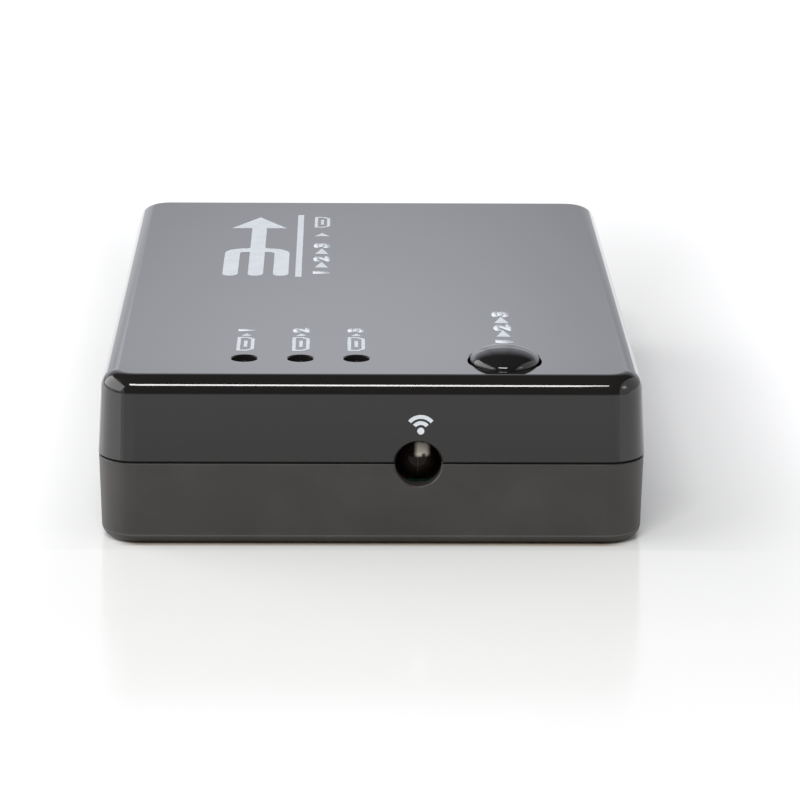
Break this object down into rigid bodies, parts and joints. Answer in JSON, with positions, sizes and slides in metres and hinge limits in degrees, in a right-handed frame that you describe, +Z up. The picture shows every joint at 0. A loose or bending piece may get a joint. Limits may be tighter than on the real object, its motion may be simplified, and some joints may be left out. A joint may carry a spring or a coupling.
{
  "type": "video switch box",
  "caption": "Low black two-part plastic box with a domed push button, a row of lamp holes, a receiver hole and side sockets; passes one chosen video input to its output.",
  "frame": {"origin": "middle of the flat underside", "axes": "+Z up; -Y faces out of the receiver end; inputs on -X, output on +X"},
  "size_m": [0.062, 0.09, 0.0212],
  "materials": {
    "case_gloss": "high gloss black moulding",
    "case_satin": "satin black moulding",
    "button_gloss": "polished black moulding",
    "black_moulding": "satin black moulding",
    "receiver_epoxy": "polished dark epoxy",
    "red_lens": "diffused red epoxy",
    "chip_epoxy": "fine matt epoxy",
    "capacitor_tan": "fired ceramic",
    "board_green": "solder mask over glass laminate",
    "screw_steel": "blackened steel",
    "plated_sheet": "tin plated sheet",
    "spring_steel": "bright spring steel",
    "socket_steel": "nickel plated sheet",
    "contact_brass": "gold plated",
    "can_aluminium": "drawn can"
  },
  "bodies": {
    "housing": {"top_shell": "case_gloss", "bottom_shell": "case_satin", "case_screws": "screw_steel", "tact_base": "black_moulding", "tact_cover": "plated_sheet", "tact_disc": "spring_steel", "tact_legs": "plated_sheet", "lamp_leads": "plated_sheet", "lamp_spacers": "black_moulding", "lamp_lens_1": "red_lens", "lamp_lens_2": "red_lens", "lamp_lens_3": "red_lens", "ir_receiver": "receiver_epoxy", "ir_receiver_leads": "plated_sheet", "dc_jack_housing": "black_moulding", "dc_jack_pin": "contact_brass", "dc_jack_terminals": "plated_sheet", "switch_chip": "chip_epoxy", "switch_chip_leads": "plated_sheet", "controller_chip": "chip_epoxy", "controller_chip_leads": "plated_sheet", "regulator": "chip_epoxy", "regulator_leads": "plated_sheet", "crystal_can": "plated_sheet", "capacitor_cans": "can_aluminium", "capacitor_bases": "black_moulding", "chip_resistors": "chip_epoxy", "chip_capacitors": "capacitor_tan", "circuit_board": "board_green", "socket_shell_in_1": "socket_steel", "socket_insulator_in_1": "black_moulding", "socket_contacts_in_1": "contact_brass", "socket_shell_in_2": "socket_steel", "socket_insulator_in_2": "black_moulding", "socket_contacts_in_2": "contact_brass", "socket_shell_in_3": "socket_steel", "socket_insulator_in_3": "black_moulding", "socket_contacts_in_3": "contact_brass", "socket_shell_out": "socket_steel", "socket_insulator_out": "black_moulding", "socket_contacts_out": "contact_brass"},
    "button": {"select_button": "button_gloss"},
    "plunger": {"tact_plunger": "black_moulding"}
  },
  "joints": [
    {"name": "button_press", "type": "slide", "parent": "housing", "child": "button", "axis": [0, 0, -1], "range_m": [0, 0.0004], "stiffness_N_per_m": 300, "springref_m": -0.002},
    {"name": "plunger_press", "type": "slide", "parent": "housing", "child": "plunger", "axis": [0, 0, -1], "range_m": [0, 0.0004], "deforming": ["tact_disc"]}
  ],
  "couplings": [
    {"joint": "plunger_press", "follows": "button_press", "ratio": 1}
  ]
}
